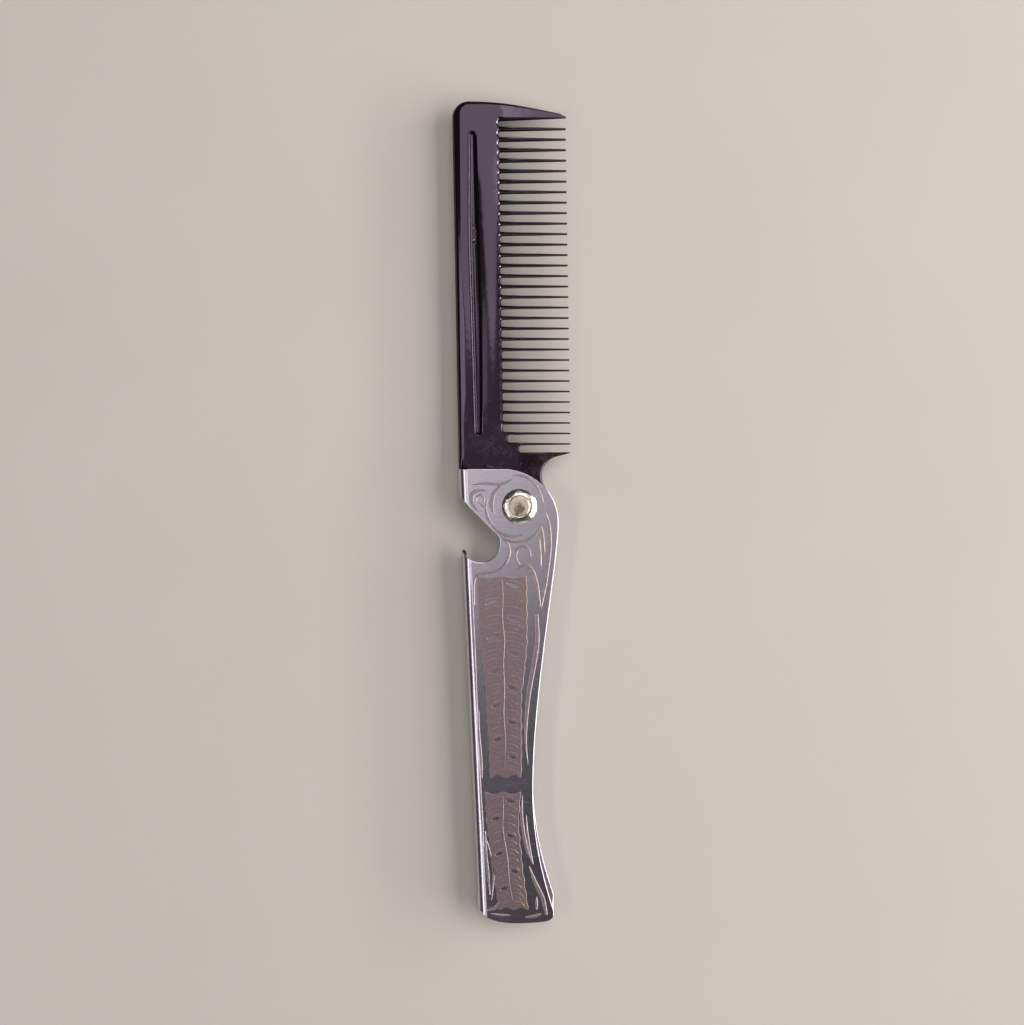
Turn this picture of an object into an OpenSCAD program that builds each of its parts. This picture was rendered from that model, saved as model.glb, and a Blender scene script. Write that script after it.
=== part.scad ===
// Folding beard comb, open and lying on its rear rivet head.
// A moulded comb turns on a rivet between the two plates of a folded steel handle.
// Origin: on the pivot axis, level with the flat of the rear rivet head.
// +Y runs from the pivot along the open comb, +X towards the tooth tips, +Z out of the front plate.

/* [Comb] */
// Distance from the pivot to the top end of the comb
comb_reach = 108; // [102:0.1:110]
// Thickness of the moulded back and tang
comb_thk = 3.1; // [2.6:0.1:3.2]
// Distance from the pivot to the spine's outer edge, at the heel
spine_offset = 16.15; // [15.8:0.05:16.6]
// Lean of the spine's outer edge
spine_lean = 1.04; // [0.6:0.02:1.2]
// Depth of the long groove on each face
groove_depth = 0.5; // [0.2:0.1:0.9]

/* [Teeth] */
// Number of thin teeth between the top guard and the horn
tooth_count = 31; // [25:1:33]
// Length of a tooth from the root line to its tip
tooth_len = 18.35; // [15:0.05:18.5]
// Width of a tooth at its root
tooth_root_w = 0.8; // [0.6:0.05:1.1]
// Width of a tooth at its tip
tooth_tip_w = 0.4; // [0.3:0.05:0.5]
// Thickness of a tooth at its tip
tooth_tip_thk = 1.0; // [0.6:0.1:2]

/* [Handle] */
// Length of the handle from its shoulder to its lower end
handle_len = 120.4; // [118:0.2:124]
// Thickness of the steel sheet
sheet_thk = 0.9; // [0.7:0.05:1]
// Gap between the two plates
plate_gap = 3.7; // [3.5:0.05:3.9]
// Lean of the fold
fold_lean = 2.6; // [2.4:0.05:2.8]
// How much higher the rear plate starts to flare than the front plate
rear_flare_lead = 2.7; // [0:0.1:4]

/* [Opener notch] */
// Radius of the notch's round end
notch_r = 5.2; // [4.8:0.1:5.4]

/* [Pivot] */
// Radius of the hollow shank that the comb turns on
shank_r = 2.2; // [1.8:0.1:2.8]
// Radius of the solid pin pressed into the shank
pin_r = 1.2; // [0.8:0.1:1.3]
// Radius of the domed front head
front_head_r = 4.63; // [4.2:0.01:5]
// Height of the domed front head
front_head_h = 1.2; // [1:0.05:1.4]
// Radius of the flat rear head
rear_head_r = 4.3; // [3.8:0.1:4.8]
// Height of the flat rear head
rear_head_h = 0.8; // [0.5:0.05:1]
// Radius of the washers
washer_r = 6; // [5.5:0.1:7]

/* [Hidden] */
$fn = 96;
curve_steps = 14;            // straight steps in each curve of an outline
running_clearance = 0.05;    // round the shank, and between the comb and each washer
cut = 1;                     // how far a cutting solid runs past what it cuts

// Levels above the resting plane
rear_z = rear_head_h;                      // outer face of the rear plate
rear_in_z = rear_z + sheet_thk;
front_in_z = rear_in_z + plate_gap;
front_z = front_in_z + sheet_thk;          // outer face of the front plate
mid_z = (rear_in_z + front_in_z) / 2;
comb_z = mid_z - comb_thk / 2;
washer_thk = (plate_gap - comb_thk) / 2 - running_clearance;
fold_r = plate_gap / 2 + sheet_thk;        // outer radius of the fold

// Handle outline
shoulder_y = 9.9;                          // top end of the handle
end_y = shoulder_y - handle_len;           // lower end of the handle
fold_x = -16.45;                           // outer face of the fold at the shoulder
far_x = -24;                               // beyond the fold, where the outline is open
waist = [3.65, end_y + 35.5];              // narrowest place of the right-hand edge
notch_c = [-10.3, -9.75];                  // centre of the notch's round end
notch_edge = -13.45;                       // x + y along the notch's slanted edge
hook_y = -11.5;                            // height of the hook's tip

// Comb outline
heel_y = shoulder_y + 0.1;                 // heel of the comb, just clear of the fold's top end
top_corner_r = 4.1;
guard_root_y = comb_reach - 4.8;           // underside of the top guard at its root
guard_tip = [12.5, comb_reach - 4];
first_tooth_y = comb_reach - 7.2;
last_tooth_y = 16.7;
tooth_pitch = (first_tooth_y - last_tooth_y) / (tooth_count - 1);
root_x = -4.6;                             // root line at the lower end
root_lean = 0.9;
step_x = [-3.1, -0.1];                     // roots of the last two teeth stand further out
horn_y = 14.4;                             // upper edge of the horn
horn_tip = [13.6, 14.5];
horn_hollow = [11.3, 8.2];                 // centre of the hollow under the horn
horn_hollow_r = 5.3;
boss_r = 8.6;                              // round tang about the pivot
tang_x = -13.9;                            // edge of the tang beside the fold
taper_x = -4.6;                            // the guard and the teeth get thinner beyond this line
groove_top_y = comb_reach - 9.2;           // centre of the groove's round top end
pad_c = [-8.3, 9.1];                       // low round rubbing pad on each face
pad_r = 1.7;
pad_h = 0.12;

// Cubic curve from a to d, without its first point, so that curves follow on from each other.
function curve(a, b, c, d) = [for (i = [1:curve_steps])
    let (t = i / curve_steps, s = 1 - t)
    s * s * s * a + 3 * s * s * t * b + 3 * s * t * t * c + t * t * t * d];

function arc(c, r, from, to, steps) = [for (i = [0:steps])
    let (a = from + (to - from) * i / steps)
    c + r * [cos(a), sin(a)]];

function spine_x(y) = -spine_offset - (y - heel_y) * tan(spine_lean);
function root_line_x(y) = root_x - (y - last_tooth_y) * tan(root_lean);
function tip_line_x(y) = root_line_x(y) + tooth_len;
function tooth_y(i) = last_tooth_y + i * tooth_pitch;
function tooth_base_x(i) = i == 0 ? step_x[1] : i == 1 ? step_x[0] : undef;

// Right-hand edge and lower end of a plate; lead raises the start of the flare at the lower end.
function plate_outline(lead) = concat(
    [[far_x, shoulder_y], [-2.8, shoulder_y]],
    curve([-2.8, shoulder_y], [3.2, 9.2], [10.4, 4.5], [10.4, -4.6]),
    curve([10.4, -4.6], [10.2, -16], waist + [0, 25], waist + [0, lead]),
    curve(waist + [0, lead], waist + [0, lead - 13], [6.2, end_y + 12.5 + lead],
        [9.1 + 0.07 * lead, end_y + 3.5 + lead]),
    curve([9.1, end_y + 3.5], [9.5, end_y + 1.6], [8.6, end_y + 0.4], [5.8, end_y + 0.25]),
    curve([5.8, end_y + 0.25], [-2, end_y - 0.5], [-10.5, end_y - 0.7], [-11.6, end_y + 6]),
    [[far_x, end_y + 8]]
);

module opener_notch() {
    intersection() {
        union() {
            translate(notch_c) circle(r = notch_r);
            polygon([[far_x, notch_edge - far_x], [-6.3, notch_edge + 6.3], notch_c,
                [-15.2, hook_y], [far_x, hook_y]]);
        }
        polygon([[far_x, notch_edge - far_x], [0, notch_edge], [0, -20], [far_x, -20]]);
    }
}

module plate_plan(lead) {
    difference() {
        polygon(plate_outline(lead));
        opener_notch();
        circle(r = shank_r);
    }
}

// The folded sheet as a channel that runs past both ends of the handle: a half-round fold with a plate above and below.
module channel() {
    reach = 40;
    run_out = 20;
    translate([fold_x, shoulder_y, rear_z]) rotate([90, 0, fold_lean])
        linear_extrude(height = 2 * (handle_len + run_out), center = true) difference() {
            union() {
                translate([fold_r, fold_r]) circle(r = fold_r);
                translate([fold_r, 0]) square([reach, 2 * fold_r]);
            }
            translate([fold_r, fold_r]) circle(r = fold_r - sheet_thk);
            translate([fold_r, sheet_thk]) square([reach + cut, plate_gap]);
        }
}

module handle_shell() {
    color([0.68, 0.66, 0.70]) intersection() {
        channel();
        union() {
            translate([0, 0, rear_z - cut]) linear_extrude(height = mid_z - rear_z + cut)
                plate_plan(rear_flare_lead);
            translate([0, 0, mid_z]) linear_extrude(height = front_z - mid_z + cut)
                plate_plan(0);
        }
    }
}

module comb_plan() {
    corner = [spine_x(comb_reach) + top_corner_r + 0.05, comb_reach - top_corner_r];
    steps_y = [tooth_y(0) + tooth_root_w / 2, tooth_y(1) + tooth_root_w / 2];
    difference() {
        union() {
            polygon(concat(
                [[tang_x, heel_y], [spine_x(heel_y), heel_y]],
                arc(corner, top_corner_r, 180, 92, 12),
                curve(corner + [0.6, top_corner_r], [-4, comb_reach], [4, comb_reach - 1.8],
                    guard_tip + [-1.65, 0.9]),
                [guard_tip, guard_tip - [0, 0.25], [root_line_x(guard_root_y), guard_root_y],
                    [root_line_x(steps_y[1]), steps_y[1]], [step_x[0], steps_y[1]],
                    [step_x[0], steps_y[0]], [step_x[1], steps_y[0]], [step_x[1], horn_y],
                    horn_tip, horn_tip - [0.2, 0.4], [horn_hollow[0], horn_hollow[1] + horn_hollow_r],
                    horn_hollow, [7, 5.1], [0, 0], [-6.83, -5.22], [tang_x, 4]]
            ));
            circle(r = boss_r);
        }
        translate(horn_hollow) circle(r = horn_hollow_r);
        circle(r = shank_r + running_clearance);
    }
}

module groove_plan() {
    polygon([[-13.75, groove_top_y], [-13.75, 73], [-11.95, 20], [-10.1, 20],
        [-10.3, 51], [-11.75, groove_top_y]]);
    translate([-12.75, groove_top_y]) circle(r = 1);
    translate([-11.02, 20]) circle(r = 0.92);
}

// Wedges above and below that thin the guard and the teeth towards the tips.
module tip_wedges() {
    wedge_end = 16;
    drop = (comb_thk - tooth_tip_thk) / 2 * wedge_end * 1.2 / tooth_len;
    translate([taper_x, last_tooth_y - 1, comb_z]) rotate([90, 0, 0]) mirror([0, 0, 1])
        linear_extrude(height = comb_reach) {
            polygon([[0, 0], [wedge_end * 1.2, drop], [wedge_end * 1.2, -cut], [0, -cut]]);
            polygon([[0, comb_thk], [wedge_end * 1.2, comb_thk - drop],
                [wedge_end * 1.2, comb_thk + cut], [0, comb_thk + cut]]);
        }
}

module comb_back() {
    color([0.17, 0.13, 0.17]) difference() {
        union() {
            translate([0, 0, comb_z]) linear_extrude(height = comb_thk) comb_plan();
            translate([pad_c[0], pad_c[1], comb_z - pad_h]) cylinder(r = pad_r, h = comb_thk + 2 * pad_h);
        }
        for (z = [comb_z - cut, comb_z + comb_thk - groove_depth])
            translate([0, 0, z]) linear_extrude(height = groove_depth + cut) groove_plan();
        tip_wedges();
    }
}

// Thin teeth, each a separate solid standing on the root line of the back.
module comb_teeth() {
    color([0.30, 0.24, 0.29]) difference() {
        translate([0, 0, comb_z]) linear_extrude(height = comb_thk) for (i = [0:tooth_count - 1]) {
            y = tooth_y(i);
            half_root = tooth_root_w / 2;
            half_tip = tooth_tip_w / 2;
            stepped = i < len(step_x);
            polygon([
                [stepped ? tooth_base_x(i) : root_line_x(y + half_root), y + half_root],
                [tip_line_x(y), y + half_tip],
                [tip_line_x(y), y - half_tip],
                [stepped ? tooth_base_x(i) : root_line_x(y - half_root), y - half_root]
            ]);
        }
        tip_wedges();
    }
}

module pivot_post() {
    head_edge = 0.3;
    bore_z = rear_z + 0.4;
    color([0.62, 0.58, 0.52]) rotate_extrude() polygon([
        [0, 0], [rear_head_r - head_edge, 0], [rear_head_r, head_edge], [rear_head_r, rear_z],
        [shank_r, rear_z], [shank_r, front_z], [pin_r, front_z], [pin_r, bore_z], [0, bore_z]
    ]);
}

module pivot_cap() {
    disc_r = 2.6;
    rim_h = 0.3;
    step_h = 0.15;
    dimple_r = 0.7;
    dimple_depth = 0.3;
    pin_len = front_z - rear_z - 0.6;
    dome_h = front_head_h - step_h - rim_h;
    color([0.74, 0.68, 0.58]) translate([0, 0, front_z]) rotate_extrude() polygon(concat(
        [[0, -pin_len], [pin_r, -pin_len], [pin_r, 0], [front_head_r, 0]],
        [for (i = [0:6]) let (a = 90 * i / 6)
            [disc_r + (front_head_r - disc_r) * cos(a), rim_h + dome_h * sin(a)]],
        [[disc_r, front_head_h], [dimple_r, front_head_h], [dimple_r * 0.5, front_head_h - dimple_depth],
            [0, front_head_h - dimple_depth]]
    ));
}

module washer() {
    difference() {
        cylinder(r = washer_r, h = washer_thk);
        translate([0, 0, -cut]) cylinder(r = shank_r, h = washer_thk + 2 * cut);
    }
}

module front_washer() {
    color([0.85, 0.84, 0.80]) translate([0, 0, front_in_z - washer_thk]) washer();
}

module rear_washer() {
    color([0.85, 0.84, 0.80]) translate([0, 0, rear_in_z]) washer();
}

handle_shell();
comb_back();
comb_teeth();
pivot_post();
pivot_cap();
front_washer();
rear_washer();
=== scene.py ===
from math import acos, atan2, cos, degrees, pi, radians, sin, sqrt, tan

import bmesh
import bpy
import numpy as np
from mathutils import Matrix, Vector
from mathutils.geometry import delaunay_2d_cdt


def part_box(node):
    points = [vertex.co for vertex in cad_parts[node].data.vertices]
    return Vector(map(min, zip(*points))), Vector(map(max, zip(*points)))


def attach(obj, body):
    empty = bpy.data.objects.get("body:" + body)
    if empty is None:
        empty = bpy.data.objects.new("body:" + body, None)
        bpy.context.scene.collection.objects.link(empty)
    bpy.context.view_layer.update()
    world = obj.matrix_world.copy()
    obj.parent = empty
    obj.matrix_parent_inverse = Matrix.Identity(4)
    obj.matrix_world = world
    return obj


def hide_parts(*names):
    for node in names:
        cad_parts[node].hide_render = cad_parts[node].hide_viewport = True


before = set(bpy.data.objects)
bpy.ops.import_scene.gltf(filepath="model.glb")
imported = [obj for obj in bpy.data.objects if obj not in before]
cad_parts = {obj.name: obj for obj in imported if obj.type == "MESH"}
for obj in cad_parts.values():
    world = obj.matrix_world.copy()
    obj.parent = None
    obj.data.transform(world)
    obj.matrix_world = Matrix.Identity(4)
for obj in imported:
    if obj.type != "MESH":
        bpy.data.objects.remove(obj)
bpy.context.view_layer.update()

# Lengths below are millimetres; meshes are made in metres.
mm = 0.001


def boxMm(nodeName):
    low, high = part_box(nodeName)
    return low / mm, high / mm


handleLow, handleHigh = boxMm("handle_shell")
combHigh = boxMm("comb_back")[1]
capHigh = boxMm("pivot_cap")[1]
postLow, postHigh = boxMm("pivot_post")
frontZ = handleHigh.z
rearZ = handleLow.z
midZ = (frontZ + rearZ) / 2
print("frame loaded:", ", ".join(sorted(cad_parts)))


# Outlines are points in a plane. A run leaves out its own first point, so that runs follow on.
def lineRun(start, end, steps=1):
    return [tuple(start[k] + (end[k] - start[k]) * i / steps for k in (0, 1)) for i in range(1, steps + 1)]


def curveRun(start, pullA, pullB, end, steps=14):
    run = []
    for i in range(1, steps + 1):
        t = i / steps
        s = 1 - t
        weights = (s ** 3, 3 * s * s * t, 3 * s * t * t, t ** 3)
        run.append(tuple(sum(w * p[k] for w, p in zip(weights, (start, pullA, pullB, end))) for k in (0, 1)))
    return run


def arcPoints(centre, radius, fromDeg, toDeg, steps):
    radiusX, radiusY = radius if isinstance(radius, tuple) else (radius, radius)
    turns = [radians(fromDeg + (toDeg - fromDeg) * i / steps) for i in range(steps + 1)]
    return [(centre[0] + radiusX * cos(a), centre[1] + radiusY * sin(a)) for a in turns]


def circleLoop(centre, radius, steps=48):
    return arcPoints(centre, radius, 0, 360, steps)[:-1]


def mirrorRun(run, axisX):
    return [(2 * axisX - x, y) for x, y in reversed(run)]


# A loop turned so that the material is on its left: anticlockwise round an outline, clockwise round a hole.
def wound(loop, hole=False):
    area = sum(a[0] * b[1] - b[0] * a[1] for a, b in zip(loop, loop[1:] + loop[:1]))
    return loop if (area > 0) != hole else loop[::-1]


# An edge is rounded over a width and a depth, and may go on as a shoulder that leans by some degrees.
def withEdge(points, width, depth, shoulder=0, shoulderLean=20):
    return [(x, y, width, depth, shoulder, shoulderLean) for x, y in points]


# In a plate, rings of points step over an edge or down a stamped shape, and faces fill what they enclose.
def newPlate():
    return {"points": [], "normals": [], "faces": [], "tones": []}


def addPoint(plate, point, normal=None):
    plate["points"].append(point)
    if normal is not None:
        plate["normals"].append(normal)
    return len(plate["points"]) - 1


def addFace(plate, face, tone=0):
    plate["faces"].append(tuple(face))
    plate["tones"].append(tone)


def insetDirections(loop):
    flat = np.array([p[:2] for p in loop], float)
    along = np.roll(flat, -1, 0) - flat
    along /= np.linalg.norm(along, axis=1)[:, None]
    left = np.stack([-along[:, 1], along[:, 0]], 1)
    mean = left + np.roll(left, 1, 0)
    mean /= np.maximum(np.linalg.norm(mean, axis=1), 1e-6)[:, None]
    stretch = 1 / np.maximum((mean * left).sum(1), 0.6)
    return mean, stretch


# A step is how far in and how far down the ring lies, in edge widths and depths, and how far it leans.
# A fourth value places the ring on the shoulder, from its outer side (0) to its inner side (1).
def addRing(plate, loop, surface, step):
    inset, drop, lean = step[0], step[1], radians(step[2])
    mean, stretch = insetDirections(loop)
    ids, flat = [], []
    for (x, y, width, depth, shoulder, shoulderLean), m, s in zip(loop, mean, stretch):
        slope = radians(shoulderLean)
        fall = 0.85 * shoulder * tan(slope)
        if len(step) > 3:
            across, down = width + shoulder * step[3], fall * max(0, 1 - step[3] / 0.85)
            tilt, scaleUp, scaleOut = slope if step[3] < 0.85 else 0, 1, 1
        else:
            across, down = width * inset, fall + (depth - fall) * drop if shoulder else depth * drop
            tilt, scaleUp, scaleOut = lean, depth, width
        px = x + m[0] * s * across
        py = y + m[1] * s * across
        point, alongX, alongY, up = surface(px, py)
        out = -(m[0] * alongX + m[1] * alongY)
        normal = up * cos(tilt) / scaleUp + out * sin(tilt) / scaleOut
        ids.append(addPoint(plate, point - up * down, normal / np.linalg.norm(normal)))
        flat.append((px, py))
    return ids, flat


def joinRings(plate, first, second, tone=0):
    for i in range(len(first)):
        j = (i + 1) % len(first)
        addFace(plate, (first[i], first[j], second[j], second[i]), tone)


def addProfile(plate, loop, surface, steps):
    rings = [addRing(plate, loop, surface, step) for step in steps]
    for (idsA, _), (idsB, _) in zip(rings, rings[1:]):
        joinRings(plate, idsA, idsB)
    return rings[0], rings[-1]


def insideLoops(points, loops):
    inside = np.zeros(len(points), bool)
    px, py = points[:, 0], points[:, 1]
    for loop in loops:
        for (ax, ay), (bx, by) in zip(loop, loop[1:] + loop[:1]):
            if ay != by:
                crossed = ((ay > py) != (by > py)) & (px < (bx - ax) * (py - ay) / (by - ay) + ax)
                inside ^= crossed
    return inside


def fillRings(plate, surface, rings, inner=()):
    flat, ids, edges = [], [], []
    for ringIds, ringFlat in rings:
        base = len(flat)
        flat += ringFlat
        ids += ringIds
        edges += [(base + i, base + (i + 1) % len(ringIds)) for i in range(len(ringIds))]
    loops = [ring[1] for ring in rings]
    if len(inner):
        innerPoints = np.array(inner, float)
        innerPoints = innerPoints[insideLoops(innerPoints, loops)]
        border = np.array(flat)
        for x, y in innerPoints:
            if np.min(np.abs(border[:, 0] - x) + np.abs(border[:, 1] - y)) > 0.12:
                flat.append((float(x), float(y)))
                ids.append(None)
    made, _, triangles, sources, _, _ = delaunay_2d_cdt([Vector(p) for p in flat], edges, [], 0, 1e-7)
    pointIds = []
    for place, source in zip(made, sources):
        known = [ids[s] for s in source if ids[s] is not None]
        if known:
            pointIds.append(known[0])
            continue
        point, _, _, up = surface(place.x, place.y)
        pointIds.append(addPoint(plate, point, up))
    corners = np.array([[tuple(made[i]) for i in triangle] for triangle in triangles])
    for triangle, kept in zip(triangles, insideLoops(corners.mean(axis=1), loops)):
        face = [pointIds[i] for i in triangle]
        if kept and len(set(face)) == 3:
            addFace(plate, face)


# A quarter ellipse from the side of a plate to its face.
def roundedEdge(steps):
    turns = [pi / 2 * i / steps for i in range(steps + 1)]
    return [(1 - cos(a), 1 - sin(a), 90 - degrees(a)) for a in turns]


# The steep part of an edge, with the side's slight draft, and then the rings of its shoulder.
def shoulderedEdge(steps, draft):
    turns = [radians(64) * i / steps for i in range(steps + 1)]
    rise, run = sin(turns[-1]), 1 - cos(turns[-1])
    edge = [(draft + (1 - draft) * (1 - cos(a)) / run, 1 - sin(a) / rise,
             degrees(atan2(cos(a) / rise, sin(a) / run))) for a in turns]
    return edge + [(0, 0, 0, part) for part in (0.08, 0.78, 1)]


# A broken edge of bent sheet: a steep side and then two small facets.
def brokenEdge():
    return [(0, 1, 90), (0.03, 0.6, 70), (0.2, 0.36, 52), (0.25, 0.32, 32), (0.85, 0.04, 19), (1, 0, 0)]


def addObject(name, data):
    made = bpy.data.objects.new(name, data)
    bpy.context.scene.collection.objects.link(made)
    return made


def makePiece(name, plate, materials, body, replaced=()):
    mesh = bpy.data.meshes.new(name)
    mesh.from_pydata([tuple(p * mm) for p in plate["points"]], [], plate["faces"])
    mesh.polygons.foreach_set("material_index", plate["tones"])
    work = bmesh.new()
    work.from_mesh(mesh)
    bmesh.ops.recalc_face_normals(work, faces=work.faces)
    work.to_mesh(mesh)
    work.free()
    mesh.shade_smooth()
    if plate["normals"]:
        mesh.normals_split_custom_set_from_vertices([tuple(n) for n in plate["normals"]])
    for material in materials:
        mesh.materials.append(material)
    piece = addObject(name, mesh)
    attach(piece, body)
    if replaced:
        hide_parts(*replaced)
    return piece


# One tree of shader nodes. Each node is made and wired in one call.
class NodeTree:
    def __init__(self, tree):
        self.tree = tree

    def node(self, kind, inputs, **settings):
        made = self.tree.nodes.new("ShaderNode" + kind)
        for key, value in settings.items():
            setattr(made, key, value)
        for key, value in inputs.items():
            socket = made.inputs[key]
            if isinstance(value, bpy.types.NodeSocket):
                self.tree.links.new(value, socket)
            else:
                socket.default_value = value
        return made

    def connect(self, sockets, **values):
        for key, value in values.items():
            self.tree.links.new(value, sockets[key.replace("_", " ")])

    def group(self, name, **inputs):
        given = {key.replace("_", " "): value for key, value in inputs.items()}
        return self.node("Group", given, node_tree=groups[name]).outputs

    def mix(self, factor, first, second):
        return self.node("Mix", {0: factor, 6: first, 7: second}, data_type="RGBA").outputs[2]

    def math(self, operation, first, second=0, clamp=False):
        return self.node("Math", {0: first, 1: second}, operation=operation, use_clamp=clamp).outputs[0]

    def times(self, first, second, clamp=False):
        return self.math("MULTIPLY", first, second, clamp)

    def remap(self, value, fromLow, fromHigh, toLow=0, toHigh=1):
        return self.node("MapRange", {"Value": value, "From Min": fromLow, "From Max": fromHigh,
                                      "To Min": toLow, "To Max": toHigh}).outputs[0]

    def vector(self, operation, first, second=(0, 0, 0), output=0):
        return self.node("VectorMath", {0: first, 1: second}, operation=operation).outputs[output]

    # The piece's own coordinates, in millimetres.
    def place(self):
        place = self.node("TexCoord", {}).outputs["Object"]
        return self.node("VectorMath", {0: place, "Scale": 1 / mm}, operation="SCALE").outputs[0]

    def stretched(self, place, lengthX, widthY, depthZ):
        divisor = self.node("CombineXYZ", {0: lengthX, 1: widthY, 2: depthZ}).outputs[0]
        return self.vector("DIVIDE", place, divisor)

    def noise(self, place, scale, detail=2, roughness=0.5):
        return self.node("TexNoise", {"Vector": place, "Scale": scale, "Detail": detail,
                                      "Roughness": roughness}).outputs["Fac"]

    def bump(self, height, distance, before=None):
        made = self.node("Bump", {"Height": height, "Distance": distance * mm, "Strength": 1})
        if before is not None:
            self.tree.links.new(before, made.inputs["Normal"])
        return made.outputs[0]


groups = {}


def newGroup(name, inputs, outputs):
    tree = bpy.data.node_groups.new(name, "ShaderNodeTree")
    for label, default in inputs.items():
        socket = tree.interface.new_socket(label, in_out="INPUT", socket_type="NodeSocketFloat")
        socket.default_value = default
    for label in outputs:
        tree.interface.new_socket(label, in_out="OUTPUT", socket_type="NodeSocketFloat")
    groups[name] = tree
    return NodeTree(tree), tree.nodes.new("NodeGroupInput").outputs, tree.nodes.new("NodeGroupOutput").inputs


# Fine parallel lines left by a sanding belt that ran across the handle.
def buildBrushedGrain():
    nodes, given, result = newGroup("brushedGrain", {"Line Length": 9, "Line Width": 0.3, "Contrast": 1},
                                    ["Height", "Tone"])
    place = nodes.place()
    length, width = given["Line Length"], given["Line Width"]
    fineWidth = nodes.times(width, 0.27)
    broad = nodes.noise(nodes.stretched(place, length, width, width), 1, 3, 0.65)
    fine = nodes.noise(nodes.stretched(place, length, fineWidth, fineWidth), 1)
    height = nodes.math("ADD", nodes.times(broad, 0.6), nodes.times(fine, 0.4))
    tone = nodes.times(nodes.math("SUBTRACT", height, 0.5), given["Contrast"])
    nodes.connect(result, Height=height, Tone=nodes.math("ADD", tone, 0.5, clamp=True))


# Sparse hair-thin scratches in three directions.
def buildFineScratches():
    nodes, given, result = newGroup("fineScratches", {"Spacing": 3, "Coverage": 0.5}, ["Mask"])
    place = nodes.place()
    total = 0
    for turn, reach in ((0.5, 9), (-0.9, 6), (1.9, 7)):
        turned = nodes.node("VectorRotate", {"Vector": place, "Angle": turn},
                            rotation_type="Z_AXIS").outputs[0]
        length = nodes.times(given["Spacing"], reach * 0.4)
        width = nodes.times(given["Spacing"], 0.12)
        lines = nodes.noise(nodes.stretched(turned, length, width, width), 1, 1)
        ridge = nodes.math("ABSOLUTE", nodes.math("SUBTRACT", lines, 0.5))
        gate = nodes.noise(turned, 0.22 * reach / 6)
        shown = nodes.times(nodes.remap(ridge, 0, 0.012, 1, 0), nodes.remap(gate, 0.52, 0.6))
        total = nodes.math("MAXIMUM", shown, total)
    nodes.connect(result, Mask=nodes.times(total, given["Coverage"], clamp=True))


# Loose specks of dust and lint.
def buildDustSpecks():
    nodes, given, result = newGroup("dustSpecks", {"Spacing": 1.5, "Size": 0.06, "Amount": 1}, ["Mask"])
    place = nodes.stretched(nodes.place(), given["Spacing"], given["Spacing"], given["Spacing"])
    cells = nodes.node("TexVoronoi", {"Vector": place, "Scale": 1}).outputs
    near = nodes.math("LESS_THAN", cells["Distance"], given["Size"])
    chosen = nodes.node("SeparateColor", {0: cells["Color"]}).outputs[0]
    some = nodes.math("LESS_THAN", chosen, nodes.times(given["Amount"], 0.5))
    nodes.connect(result, Mask=nodes.times(near, some))


# Wear where edges stand out, broken up by a slow noise.
def buildEdgeWear():
    nodes, given, result = newGroup("edgeWear", {"Sharpness": 0.54, "Patchiness": 1.2}, ["Mask"])
    edge = nodes.node("NewGeometry", {}).outputs["Pointiness"]
    raised = nodes.times(nodes.math("SUBTRACT", edge, given["Sharpness"]), 14, clamp=True)
    patches = nodes.noise(nodes.place(), given["Patchiness"], 4)
    nodes.connect(result, Mask=nodes.times(raised, nodes.remap(patches, 0.35, 0.6)))


for buildGroup in (buildBrushedGrain, buildFineScratches, buildDustSpecks, buildEdgeWear):
    buildGroup()


def newMaterial(name, **constants):
    material = bpy.data.materials.new(name)
    material.use_nodes = True
    shader = material.node_tree.nodes["Principled BSDF"].inputs
    for key, value in constants.items():
        shader[key.replace("_", " ")].default_value = value
    return material, NodeTree(material.node_tree), shader


steelLook = {
    "light": (0.76, 0.67, 0.76, 1), "dark": (0.58, 0.51, 0.59, 1), "scratched": (0.80, 0.76, 0.80, 1),
    "worn": (0.86, 0.82, 0.86, 1), "roughness": 0.22,
    "lineLength": 9, "lineWidth": 0.24, "lineHeight": 0.006,
}


def brushedSteel():
    material, nodes, shader = newMaterial("brushedSteel", Metallic=1)
    grain = nodes.group("brushedGrain", Line_Length=steelLook["lineLength"],
                        Line_Width=steelLook["lineWidth"], Contrast=1.9)
    scratches = nodes.group("fineScratches", Spacing=2.6, Coverage=0.35)["Mask"]
    worn = nodes.group("edgeWear", Sharpness=0.53, Patchiness=0.8)["Mask"]
    base = nodes.mix(grain["Tone"], steelLook["dark"], steelLook["light"])
    base = nodes.mix(nodes.times(scratches, 0.5), base, steelLook["scratched"])
    base = nodes.mix(nodes.times(worn, 0.6), base, steelLook["worn"])
    rough = nodes.remap(grain["Tone"], 0, 1, steelLook["roughness"] + 0.08, steelLook["roughness"] - 0.05)
    rough = nodes.math("SUBTRACT", rough, nodes.times(worn, 0.06))
    normal = nodes.bump(scratches, -0.004, nodes.bump(grain["Height"], steelLook["lineHeight"]))
    nodes.connect(shader, Base_Color=base, Roughness=rough, Normal=normal)
    return material


etchLook = {
    "light": (0.40, 0.285, 0.31, 1), "dark": (0.225, 0.152, 0.168, 1), "yellow": (0.36, 0.275, 0.18, 1),
    "worn": (0.62, 0.56, 0.62, 1),
}


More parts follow.
